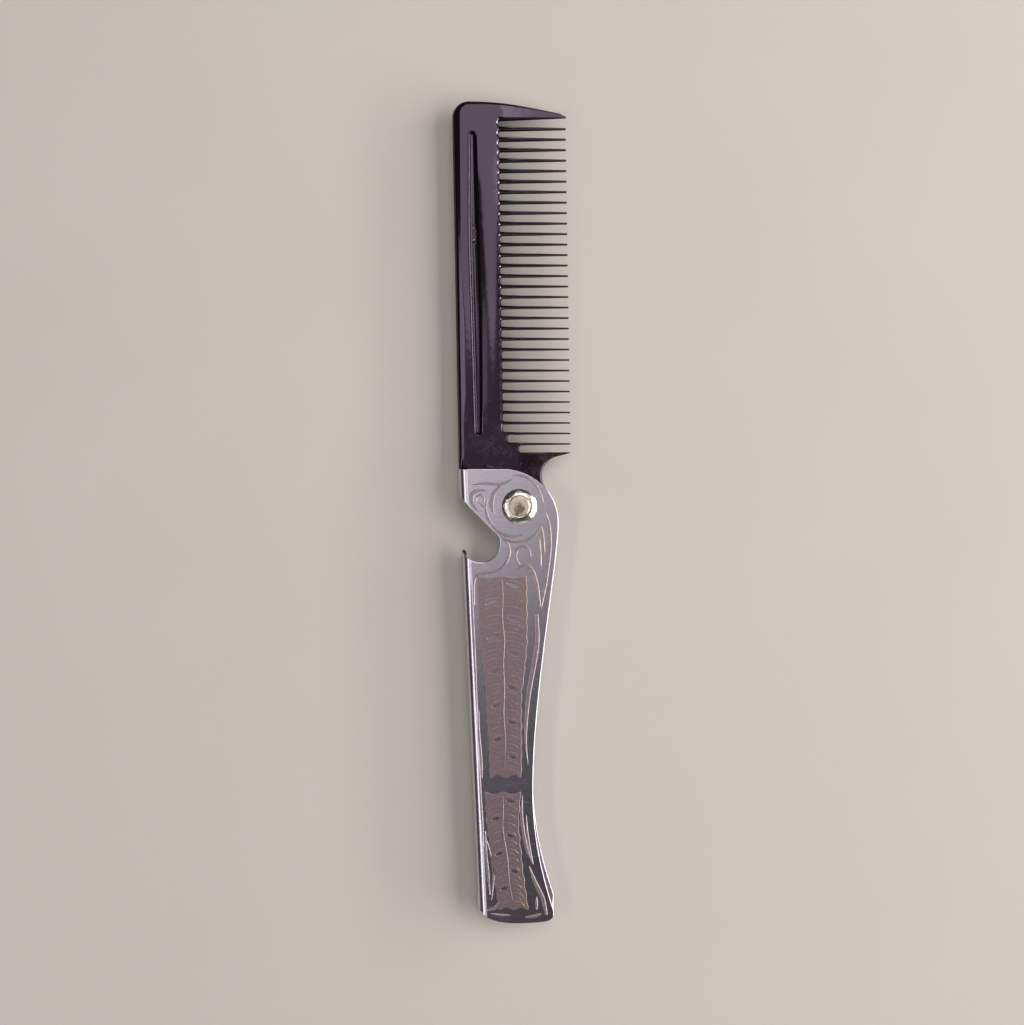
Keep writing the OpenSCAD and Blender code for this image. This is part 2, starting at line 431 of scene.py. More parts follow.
# The etched brown turns yellower on the right, near the top of the panels and at the foot.
def etchedSteel():
    material, nodes, shader = newMaterial("etchedSteel", Metallic=0.62)
    place = nodes.place()
    mottle = nodes.noise(place, 2.6, 6, 0.75)
    split = nodes.node("SeparateXYZ", {0: place}).outputs
    upper = nodes.remap(split[1], -40, -16)
    foot = nodes.remap(split[1], -92, -100)
    yellow = nodes.times(nodes.remap(split[0], -3.5, 3), nodes.math("MAXIMUM", upper, foot))
    yellow = nodes.times(yellow, nodes.remap(nodes.noise(place, 0.16, 3), 0.40, 0.56))
    base = nodes.mix(nodes.remap(mottle, 0.3, 0.7), etchLook["dark"], etchLook["light"])
    base = nodes.mix(nodes.times(yellow, 0.65), base, etchLook["yellow"])
    worn = nodes.group("edgeWear", Sharpness=0.52, Patchiness=1.6)["Mask"]
    base = nodes.mix(nodes.times(worn, 0.5), base, etchLook["worn"])
    nodes.connect(shader, Base_Color=base, Roughness=nodes.remap(mottle, 0.3, 0.7, 0.40, 0.28),
                  Normal=nodes.bump(nodes.noise(place, 7, 3), 0.012))
    return material


# The two wall colours are painted shade for the comb's side walls.
plasticLook = {
    "body": (0.0085, 0.0045, 0.0075, 1), "thin": (0.040, 0.022, 0.017, 1), "marks": (0.20, 0.17, 0.19, 1),
    "shadedWallDark": (0.003, 0.002, 0.003, 1), "shadedWallLight": (0.008, 0.005, 0.007, 1), "roughness": 0.09,
}


# The plastic shows browner where it is thin, and more scratched near the handle.
def glossPlastic():
    material, nodes, shader = newMaterial("glossPlastic", Specular_IOR_Level=0.55, IOR=1.5,
                                          Specular_Tint=(0.92, 0.70, 1, 1))
    place = nodes.place()
    split = nodes.node("SeparateXYZ", {0: place}).outputs
    body = nodes.mix(nodes.remap(split[0], 2, 14), plasticLook["body"], plasticLook["thin"])
    scratches = nodes.group("fineScratches", Spacing=1.6, Coverage=1)["Mask"]
    handled = nodes.remap(split[1], 30, 14)
    scratched = nodes.times(scratches, nodes.math("MAXIMUM", handled, 0.06))
    specks = nodes.group("dustSpecks", Spacing=2.1, Size=0.045, Amount=0.5)["Mask"]
    marks = nodes.math("MAXIMUM", nodes.times(scratched, 0.5), specks)
    worn = nodes.group("edgeWear", Sharpness=0.55, Patchiness=1)["Mask"]
    rough = nodes.math("ADD", nodes.times(marks, 0.3), nodes.times(worn, 0.05))
    nodes.connect(shader, Base_Color=nodes.mix(marks, body, plasticLook["marks"]),
                  Roughness=nodes.math("ADD", rough, plasticLook["roughness"], clamp=True),
                  Normal=nodes.bump(scratched, -0.006, nodes.bump(nodes.noise(place, 0.55, 1), 0.010)))
    return material


# The vertical walls keep the mould's duller finish. They are also painted darker than the face, with almost
# no reflection, as painted shade.
def mattShadedPlastic():
    material, nodes, shader = newMaterial("mattShadedPlastic", Specular_IOR_Level=0.02, IOR=1.5)
    grain = nodes.noise(nodes.stretched(nodes.place(), 0.25, 0.25, 2.5), 1, 3)
    nodes.connect(shader, Base_Color=nodes.mix(grain, plasticLook["shadedWallDark"], plasticLook["shadedWallLight"]),
                  Roughness=nodes.remap(grain, 0.3, 0.7, 0.5, 0.62), Normal=nodes.bump(grain, 0.02))
    return material


rivetLook = {
    "polished": (0.86, 0.77, 0.67, 1), "matt": (0.74, 0.60, 0.49, 1), "grime": (0.30, 0.25, 0.19, 1),
    "lowDark": (0.13, 0.095, 0.065, 1), "discRadius": 2.65, "lowDarkRadius": 1.45, "lowDarkDrop": 0.95,
}


# Polished round a duller disc, with turning marks, grime, and a darker patch low on the disc.
def rivetMetal():
    material, nodes, shader = newMaterial("rivetMetal", Metallic=1)
    place = nodes.place()
    flat = nodes.vector("MULTIPLY", place, (1, 1, 0))
    fromAxis = nodes.vector("LENGTH", flat, output=1)
    fromLowDark = nodes.vector("LENGTH", nodes.vector("ADD", flat, (0, rivetLook["lowDarkDrop"], 0)), output=1)
    disc = nodes.remap(fromAxis, rivetLook["discRadius"] + 0.1, rivetLook["discRadius"] - 0.1)
    turning = nodes.noise(nodes.node("CombineXYZ", {0: fromAxis}).outputs[0], 6, 4)
    grime = nodes.noise(place, 0.9, 5, 0.7)
    # A ragged darker patch sits low on the disc, centred below the axis.
    ragged = nodes.math("ADD", fromLowDark, nodes.remap(grime, 0.3, 0.7, -0.8, 0.8))
    lowDarkened = nodes.remap(ragged, rivetLook["lowDarkRadius"] + 0.4, rivetLook["lowDarkRadius"] - 0.5, 0, 0.85)
    base = nodes.mix(disc, rivetLook["polished"], rivetLook["matt"])
    base = nodes.mix(nodes.remap(grime, 0.52, 0.72, 0, 0.7), base, rivetLook["grime"])
    base = nodes.mix(lowDarkened, base, rivetLook["lowDark"])
    rough = nodes.math("ADD", nodes.remap(disc, 0, 1, 0.2, 0.42), nodes.remap(grime, 0.4, 0.7, 0, 0.12))
    normal = nodes.bump(nodes.noise(place, 1.1, 3), 0.10, nodes.bump(turning, 0.012))
    nodes.connect(shader, Base_Color=base, Roughness=rough, Normal=normal)
    return material


nylonLook = {"dark": (0.62, 0.60, 0.54, 1), "light": (0.74, 0.72, 0.67, 1), "specks": (0.25, 0.22, 0.2, 1)}


def nylonWasher():
    material, nodes, shader = newMaterial("nylonWasher", Metallic=0, Subsurface_Weight=0.1)
    cloud = nodes.noise(nodes.place(), 1.1, 4)
    specks = nodes.group("dustSpecks", Spacing=0.8, Size=0.08, Amount=0.4)["Mask"]
    base = nodes.mix(cloud, nylonLook["dark"], nylonLook["light"])
    nodes.connect(shader, Base_Color=nodes.mix(nodes.times(specks, 0.5), base, nylonLook["specks"]),
                  Roughness=nodes.remap(cloud, 0.3, 0.7, 0.42, 0.55), Normal=nodes.bump(cloud, 0.02))
    return material


def paleFloor():
    material, nodes, shader = newMaterial("paleFloor", Roughness=0.85, Specular_IOR_Level=0.2)
    cloud = nodes.noise(nodes.place(), 0.02)
    nodes.connect(shader, Base_Color=nodes.mix(cloud, (0.60, 0.555, 0.50, 1), (0.63, 0.585, 0.53, 1)))
    return material


steel, etched, plastic = brushedSteel(), etchedSteel(), glossPlastic()
shadedWallPlastic, rivet, nylon = mattShadedPlastic(), rivetMetal(), nylonWasher()
print("materials made")


# The comb: back, guard, teeth and horn are one moulding.
comb = {
    "topY": combHigh.y, "heelY": handleHigh.y + 0.1, "tangX": -13.9, "bossRadius": 8.6, "boreRadius": 2.25,
    "thickness": 3.1, "tipThickness": 1, "taperX": -4.6, "cornerRadius": 4.1,
    "spineAtHeel": -16.15, "spineLean": 1.04, "spineRoundTop": 1.95, "spineRoundHeel": 0.95,
    "spineRoundDepth": 1.3, "shoulderTop": 0.14, "shoulderMiddle": 1.45, "shoulderHeel": 0.7, "draft": 0.06,
    "crownLeft": 0.05, "crownRight": 0.14, "guardTipX": 12.5, "guardDrop": 4, "guardUnder": 4.8,
    "teeth": 31, "toothTop": combHigh.y - 7.2, "toothBottom": 16.7, "toothLength": 18.1, "rootWidth": 0.8,
    "tipWidth": 0.4, "rootX": -4.35, "rootLean": 0.9, "rootHollow": 0.55, "lastRoots": (-0.1, -3.1),
    "hornTip": (13.6, 14.5), "hornHollow": (11.3, 8.2), "hornHollowRadius": 5.3, "hornRoot": 0.7,
    "grooveTopY": combHigh.y - 9.2, "grooveBottomY": 20, "grooveDepth": 0.49,
    "padCentre": (-8.3, 9.1), "padRadius": 1.7, "padHeight": 0.11, "ejectorY": 72.7, "ejectorRadius": 0.48,
}


def spineX(y):
    return comb["spineAtHeel"] - (y - comb["heelY"]) * tan(radians(comb["spineLean"]))


def rootLineX(y):
    return comb["rootX"] - (y - comb["toothBottom"]) * tan(radians(comb["rootLean"]))


def toothY(i):
    return comb["toothBottom"] + i * (comb["toothTop"] - comb["toothBottom"]) / (comb["teeth"] - 1)


# The hollow between two teeth, a half ellipse from the upper tooth down to the lower one.
def rootRun(rootX, upperY, lowerY, hollow=comb["rootHollow"]):
    centre = (rootX + hollow, (upperY + lowerY) / 2)
    points = arcPoints(centre, (hollow, (upperY - lowerY) / 2), 90, 270, 10)
    return withEdge(points, 0.08, 0.62, 0.44, 40)


def toothRun(i, upperX, lowerX):
    y = toothY(i)
    halfRoot = comb["rootWidth"] / 2
    halfTip = comb["tipWidth"] / 2
    tipCentre = rootLineX(y) + comb["toothLength"] - halfTip

    def halfWidth(x):
        return halfTip + (halfRoot - halfTip) * (tipCentre - x) / (tipCentre - rootLineX(y))

    steps = 6
    upper = [upperX + comb["rootHollow"] + (tipCentre - upperX - comb["rootHollow"]) * k / steps
             for k in range(1, steps + 1)]
    lower = [tipCentre + (lowerX + comb["rootHollow"] - tipCentre) * k / steps for k in range(steps)]
    run = [toothEdge(x, y + halfWidth(x), halfWidth(x)) for x in upper]
    run += [toothEdge(x, tipY, halfTip) for x, tipY in arcPoints((tipCentre, y), halfTip, 60, -60, 4)]
    return run + [toothEdge(x, y - halfWidth(x), halfWidth(x)) for x in lower]


def halfThickness(x):
    thinned = (comb["thickness"] - comb["tipThickness"]) / 2
    return comb["thickness"] / 2 - thinned * max(0, x - comb["taperX"]) / comb["toothLength"]


def toothEdge(x, y, halfWidth):
    return (x, y, 0.36 * halfWidth, 0.42 * halfThickness(x), 0.42 * halfWidth, 12)


def grooveSides(y):
    leftX = -13.4 if y > 73 else -11.8 - (y - 20) * 1.6 / 53
    rightX = -10.1 - (y - 51) * 1.45 / 47 if y > 51 else -9.95 - (y - 20) * 0.15 / 31
    return leftX, rightX


# The faces are slightly crowned on both sides of the groove.
def combCrown(x, y):
    if y < comb["heelY"] or x > 2:
        return 0
    leftX, rightX = grooveSides(y)
    if x < (leftX + rightX) / 2:
        crown, centre, reach = comb["crownLeft"], leftX, leftX - spineX(y)
    else:
        crown, centre = comb["crownRight"], (rightX + rootLineX(y)) / 2 + 0.3
        reach = (rootLineX(y) - rightX) / 2 + 0.3
    fade = min(1, max(0, (y - comb["grooveBottomY"]) / 9)) * min(1, max(0, (comb["grooveTopY"] - y) / 14))
    return crown * fade * min(1.3, ((x - centre) / reach) ** 2)


def combSurface(side, extraDrop=0):
    def height(x, y):
        return halfThickness(x) - combCrown(x, y) - extraDrop

    def surface(x, y):
        nudge = 0.05
        slopeX = (height(x + nudge, y) - height(x - nudge, y)) / (2 * nudge)
        slopeY = (height(x, y + nudge) - height(x, y - nudge)) / (2 * nudge)
        up = np.array((-slopeX, -slopeY, 1)) / sqrt(1 + slopeX ** 2 + slopeY ** 2)
        alongX = np.array((1, 0, slopeX)) / sqrt(1 + slopeX ** 2)
        alongY = np.array((0, 1, slopeY)) / sqrt(1 + slopeY ** 2)
        flip = np.array((1, 1, side))
        return np.array((x, y, midZ + side * height(x, y))), alongX * flip, alongY * flip, up * flip
    return surface


def spineWidth(y):
    heel, top = comb["spineRoundHeel"], comb["spineRoundTop"]
    return float(np.interp(y, (comb["heelY"], 42, 80, comb["topY"]), (heel, heel + 0.1, 0.85 * top, top)))


def spineShoulder(y):
    heel, middle, top = comb["shoulderHeel"], comb["shoulderMiddle"], comb["shoulderTop"]
    heights = (comb["heelY"], 22, 30, 48, 66, comb["topY"])
    return float(np.interp(y, heights, (heel, heel, middle, middle, top, top)))


# The outline goes up the spine, over the guard, down the teeth to the horn, and round the tang.
def combOutline():
    heel, top, tangX = comb["heelY"], comb["topY"], comb["tangX"]
    roundTop, spineDepth = comb["spineRoundTop"], comb["spineRoundDepth"]
    corner = (spineX(top) + comb["cornerRadius"] + 0.05, top - comb["cornerRadius"])
    loop = withEdge([(tangX, 4), (tangX, heel - 0.2)], 0.3, 0.3, 0.03)
    loop += withEdge([(tangX, heel)], 0.4, 0.5, 0.1) + withEdge([(tangX - 0.8, heel)], 0.6, 0.8, 0.3)
    loop += withEdge([(spineX(heel), heel)], 0.8, 1, 0.5)
    spine = lineRun((spineX(heel), heel + 0.01), (spineX(corner[1]), corner[1]), 24)
    loop += [(x, y, spineWidth(y), spineDepth, spineShoulder(y), 20) for x, y in spine]
    for i, (x, y) in enumerate(arcPoints(corner, comb["cornerRadius"], 171, 92, 9)):
        loop.append((x, y, roundTop - 0.13 * i, spineDepth - 0.06 * i, comb["shoulderTop"] + 0.02 * i, 18))
    tipX, tipY = comb["guardTipX"], top - comb["guardDrop"]
    crest = curveRun((corner[0] + 0.6, top), (-4, top), (4, top - 1.8), (tipX - 1.65, tipY + 0.9), 18)
    for i, (x, y) in enumerate(crest):
        fade = i / len(crest)
        depth = min(0.76 - 0.3 * fade, 0.6 * halfThickness(x))
        loop.append((x, y, 0.7 - 0.5 * fade, depth, 0.34 - 0.24 * fade, 18))
    loop += withEdge([(tipX - 0.5, tipY + 0.22), (tipX, tipY), (tipX, tipY - 0.25)], 0.1, 0.3, 0.02)
    upperY = top - comb["guardUnder"]
    under = lineRun((tipX, tipY - 0.25), (rootLineX(upperY) + comb["rootHollow"], upperY), 10)[:-1]
    for i, (x, y) in enumerate(under):
        fade = i / len(under)
        loop.append((x, y, 0.1 + 0.1 * fade, 0.4 * halfThickness(x), 0.02 + 0.1 * fade, 18))
    lowerX = rootLineX(toothY(comb["teeth"] - 1))
    for i in range(comb["teeth"] - 1, -1, -1):
        upperX = rootLineX(toothY(i)) if i else lowerX
        lowerX = rootLineX(toothY(i)) if i > 1 else comb["lastRoots"][i]
        loop += rootRun(upperX, upperY, toothY(i) + comb["rootWidth"] / 2)
        loop += toothRun(i, upperX, lowerX)
        upperY = toothY(i) - comb["rootWidth"] / 2
    hornX, hornY = comb["hornTip"]
    loop += rootRun(lowerX, upperY, hornY - 0.1, comb["hornRoot"])
    for i, (x, y) in enumerate(lineRun((lowerX + comb["hornRoot"], hornY - 0.1), (hornX - 0.15, hornY), 6)):
        loop.append((x, y, 0.2 - 0.12 * i / 5, 0.4 * halfThickness(x), 0.26 - 0.22 * i / 5, 18))
    loop += withEdge([(hornX, hornY - 0.08), (hornX - 0.1, hornY - 0.26)], 0.08, 0.3, 0.02)
    for i, (x, y) in enumerate(arcPoints(comb["hornHollow"], comb["hornHollowRadius"], 98, 215.8, 20)):
        loop.append((x, y, 0.14 + 0.3 * min(1, i / 8), 0.5 * halfThickness(x), 0.1, 20))
    return loop + withEdge(arcPoints((0, 0), comb["bossRadius"], 34, -142.6, 40), 0.3, 0.3, 0.05)


def grooveLoop():
    bottom, top = comb["grooveBottomY"], comb["grooveTopY"]
    heights = [bottom + (top - bottom) * i / 30 for i in range(31)]
    points = [(grooveSides(y)[1], y) for y in heights]
    for y, fromDeg in ((top, 0), (bottom, 180)):
        leftX, rightX = grooveSides(y)
        points += arcPoints(((leftX + rightX) / 2, y), (rightX - leftX) / 2, fromDeg + 15, fromDeg + 165, 10)
        if y == top:
            points += [(grooveSides(height)[0], height) for height in reversed(heights)]
    return withEdge(wound(points), 1, 1)


def buildComb():
    plate = newPlate()
    outline = combOutline()
    flat = [corner[:2] for corner in outline]
    outline = outline if wound(flat) is flat else outline[::-1]
    bore = withEdge(wound(circleLoop((0, 0), comb["boreRadius"]), hole=True), 0.2, 0.2)
    groove = grooveLoop()
    pad = withEdge(wound(circleLoop(comb["padCentre"], comb["padRadius"], 40)), 1, 1)
    middle = sum(grooveSides(comb["ejectorY"])) / 2
    ejector = withEdge(wound(circleLoop((middle, comb["ejectorY"]), comb["ejectorRadius"], 28)), 1, 1)
    depth = comb["grooveDepth"]
    grooveSteps = [(-0.32, 0, 0), (-0.3, 0.01, -19), (-0.06, 0.1, -23), (0, 0.13, -36), (0.12, 0.2, -40),
                   (0.14, 0.22, -80), (0.47, 0.41, -80), (0.5, 0.43, -38), (0.66, 0.48, -24),
                   (0.72, depth, -9)]
    lift = comb["padHeight"]
    padSteps = [(-0.18, 0, 0), (-0.12, -0.01, 24), (0.12, 0.02 - lift, 24), (0.22, -lift, 0)]
    ejectorSteps = [(-0.06, 0, 0), (-0.02, 0.04, -45), (0.03, 0.04, 45), (0.08, -0.03, 45), (0.16, -0.06, 0)]
    edgeSteps = shoulderedEdge(5, comb["draft"])
    inner = [(x, y) for x in np.arange(-16.5, -4, 0.9) for y in np.arange(12, 106, 1.5)]
    inner += [(x, y) for x in np.arange(-3.5, 13, 1.5) for y in (104.3, 104.9, 105.5, 106.1)]
    feet = {}
    for side in (1, -1):
        surface = combSurface(side)
        low = combSurface(side, depth)
        edgeFoot, edgeTop = addProfile(plate, outline, surface, edgeSteps)
        boreFoot, boreTop = addProfile(plate, bore, surface, roundedEdge(3))
        grooveRim, grooveFloor = addProfile(plate, groove, surface, grooveSteps)
        padRim, padTop = addProfile(plate, pad, surface, padSteps)
        ejectorRim, ejectorTop = addProfile(plate, ejector, low, ejectorSteps)
        fillRings(plate, surface, [edgeTop, boreTop, grooveRim, padRim], inner)
        fillRings(plate, low, [grooveFloor, ejectorRim])
        fillRings(plate, surface, [padTop])
        fillRings(plate, low, [ejectorTop])
        feet[side] = (edgeFoot[0], boreFoot[0])
    waist = []
    mean, _ = insetDirections(outline)
    for (x, y, *_), m in zip(outline, mean):
        waist.append(addPoint(plate, np.array((x, y, midZ)), np.array((-m[0], -m[1], 0))))
    # The side walls and the bore take the second material, which is painted dark as shade.
    joinRings(plate, feet[1][0], waist, tone=1)
    joinRings(plate, waist, feet[-1][0], tone=1)
    joinRings(plate, feet[1][1], feet[-1][1], tone=1)
    makePiece("comb_moulding", plate, [plastic, shadedWallPlastic], "comb",
              ("comb_back", "comb_teeth"))


buildComb()
print("comb moulded")


# The handle: one steel sheet folded round the comb, worked out flat and then bent.
handle = {
    "length": 120.4, "sheet": 0.9, "foldRadius": (frontZ - rearZ) / 2, "foldLean": 2.6,
    "foldX": handleLow.x, "edgeRound": 0.19, "rearLead": 2.7, "holeRadius": 2.2,
    "notchCentre": (-10.3, -9.75), "notchRadius": 5.2, "notchSlant": -13.45, "hookTip": (-15.2, -11.5),
    "waistX": 3.65, "waistAboveEnd": 35.5,
}
shoulderY = handleHigh.y
endY = shoulderY - handle["length"]
lean = radians(handle["foldLean"])
across = np.array((cos(lean), sin(lean), 0))
alongFold = np.array((sin(lean), -cos(lean), 0))
foldStart = np.array((handle["foldX"], shoulderY, 0))
foldR = handle["foldRadius"]
bendR = foldR - handle["sheet"] / 2
foldSpan = pi * bendR


def flatten(x, y):
    offset = np.array((x, y, 0)) - foldStart
    return float(offset @ across), float(offset @ alongFold)


# The flat position of a run of points that goes from the plate out to the middle of the fold.
def overFold(run):
    laid = [flatten(x, y) for x, y in run]
    onPlate = [(a - foldR, v) for a, v in laid if a > foldR + 0.02]
    outer = sorted(laid)
    bent = []
    for i in range(10):
        turn = pi / 2 * i / 9
        a = foldR * (1 - sin(turn))
        v = float(np.interp(a, [p[0] for p in outer], [p[1] for p in outer]))
        bent.append((-turn * bendR, v))
    return onPlate, bent


# From the middle of the fold at the shoulder, round one plate, to the middle of the fold at the lower end.
def plateHalf(lead):
    waistY = endY + handle["waistAboveEnd"]
    waistX = handle["waistX"]
    shoulder = [(-2.8, shoulderY)] + lineRun((-2.8, shoulderY), (handle["foldX"] - 2, shoulderY), 12)
    side = curveRun((-2.8, shoulderY), (3.2, 9.2), (10.4, 4.5), (10.4, -4.6), 22)
    side += curveRun((10.4, -4.6), (10.2, -16), (waistX, waistY + 25), (waistX, waistY + lead), 26)
    side += curveRun((waistX, waistY + lead), (waistX, waistY + lead - 13), (6.2, endY + 12.5 + lead),
                     (9.1 + 0.07 * lead, endY + 3.5 + lead), 20)
    if lead:
        side += [(9.1, endY + 3.5)]
    side += curveRun((9.1, endY + 3.5), (9.5, endY + 1.6), (8.6, endY + 0.4), (5.8, endY + 0.25), 12)
    foot = curveRun((5.8, endY + 0.25), (-2, endY - 0.5), (-10.5, endY - 0.69), (-11.6, endY + 6), 40)
    foot += [(handle["foldX"] - 8, endY + 8)]
    shoulderFlat, shoulderBend = overFold(shoulder)
    footFlat, footBend = overFold(foot)
    sideFlat = [(a - foldR, v) for a, v in (flatten(x, y) for x, y in side)]
    return shoulderBend[::-1] + shoulderFlat[::-1] + sideFlat + footFlat + footBend


def notchHalf():
    cx, cy = handle["notchCentre"]
    radius = handle["notchRadius"]
    slant = handle["notchSlant"]
    reach = (slant - cx - cy) / sqrt(2)
    half = degrees(acos(reach / radius))
    meet = (cx + radius * cos(radians(45 - half)), cy + radius * sin(radians(45 - half)))
    farX = handle["foldX"] - 3
    slope = [meet] + lineRun(meet, (farX, slant - farX), 30)
    tipAngle = degrees(atan2(handle["hookTip"][1] - cy, handle["hookTip"][0] - cx))
    bowl = arcPoints((cx, cy), radius, 45 - half, tipAngle, 44)[1:]
    lip = bowl + [(farX, handle["hookTip"][1])]
    slopeFlat, slopeBend = overFold(slope)
    lipFlat, lipBend = overFold(lip)
    return slopeBend[::-1] + slopeFlat[::-1] + lipFlat + lipBend


def wrapped(front, rear):
    axis = -foldSpan / 2
    return front + mirrorRun(rear, axis)[1:-1]


def sheetSurface(side):
    def surface(u, v):
        if u >= 0:
            turn, reach = 0, foldR + u
        elif u > -foldSpan:
            turn, reach = -u / bendR, foldR
        else:
            turn, reach = pi, foldR - foldSpan - u
        up = -across * sin(turn) + np.array((0, 0, cos(turn)))
        alongU = across * cos(turn) + np.array((0, 0, sin(turn)))
        centre = foldStart + across * reach + alongFold * v + np.array((0, 0, midZ))
        radius = foldR if side > 0 else foldR - handle["sheet"]
        return centre + up * radius, alongU, alongFold, up * side
    return surface


def buildHandle():
    plate = newPlate()
    size = handle["edgeRound"]
    outline = withEdge(wound(wrapped(plateHalf(0), plateHalf(handle["rearLead"]))), size, size)
    notch = notchHalf()
    cut = withEdge(wound(wrapped(notch, notch), hole=True), size, size)
    axis = flatten(0, 0)
    frontHole = circleLoop((axis[0] - foldR, axis[1]), handle["holeRadius"], 32)
    holes = [withEdge(wound(h, hole=True), 0.15, 0.15)
             for h in (frontHole, mirrorRun(frontHole, -foldSpan / 2))]
    inner = [(-foldSpan * i / 18, v) for i in range(19) for v in np.arange(0.6, 120, 1.2)]
    feet = {}
    for side in (1, -1):
        surface = sheetSurface(side)
        rings = [addProfile(plate, loop, surface, brokenEdge()) for loop in [outline, cut] + holes]
        fillRings(plate, surface, [top for _, top in rings], inner)
        feet[side] = [foot[0] for foot, _ in rings]
    for outer, inside in zip(feet[1], feet[-1]):
        joinRings(plate, outer, inside)
    makePiece("folded_handle", plate, [steel], "handle", ("handle_shell",))


buildHandle()
print("handle folded")


# Scrollwork on the front plate: tapered strokes and two panels that stand a hair above the steel.
scroll = {"height": 0.07, "slope": 0.15, "rib": 0.05, "sunk": 0.002}


def smoothPath(points, steps=8):
    pts = [np.array(p, float) for p in points]
    if len(pts) == 2:
        return [pts[0] + (pts[1] - pts[0]) * i / steps for i in range(steps + 1)]
    padded = [2 * pts[0] - pts[1]] + pts + [2 * pts[-1] - pts[-2]]
    path = []
    for a, b, c, d in zip(padded, padded[1:], padded[2:], padded[3:]):
        for i in range(steps):
            t = i / steps
            path.append(0.5 * (2 * b + (c - a) * t + (2 * a - 5 * b + 4 * c - d) * t * t
                               + (3 * b - 3 * c + d - a) * t ** 3))
    path.append(pts[-1])
    return path


# A stroke that starts, swells and ends at the three given widths.
def addStroke(plate, points, widths, lift=0):
    path = smoothPath(points)
    last = len(path) - 1
    height = scroll["height"] + lift
    rows = []
    for i, place in enumerate(path):
        t = i / last
        width = (1 - t) ** 2 * widths[0] + 3.4 * t * (1 - t) * widths[1] + t * t * widths[2]
        ahead = path[min(i + 1, last)] - path[max(i - 1, 0)]
        side = np.array((-ahead[1], ahead[0])) / max(np.hypot(*ahead), 1e-6)
        half = max(width / 2, 0.05)
        shelf = max(half - scroll["slope"], half * 0.3)
        rows.append([addPoint(plate, np.array((*(place + side * offset), frontZ + z - scroll["sunk"])))
                     for offset, z in ((-half, 0), (-shelf, height), (shelf, height), (half, 0))])
    for a, b in zip(rows, rows[1:]):
        joinRings(plate, a, b)
    addFace(plate, rows[0])
    addFace(plate, reversed(rows[-1]))


# A flat shape with sloped sides and openings.
def addPanel(plate, outline, holes):
    def surface(x, y):
        return np.array((x, y, frontZ + scroll["height"])), *np.eye(3)

    depth = scroll["height"] + scroll["sunk"]
    tops = []
    for loop in [outline] + holes:
        edge = withEdge(wound(loop, hole=loop is not outline), scroll["slope"], depth)
        tops.append(addProfile(plate, edge, surface, [(0, 1, 60), (1, 0, 0)])[1])
    fillRings(plate, surface, tops)


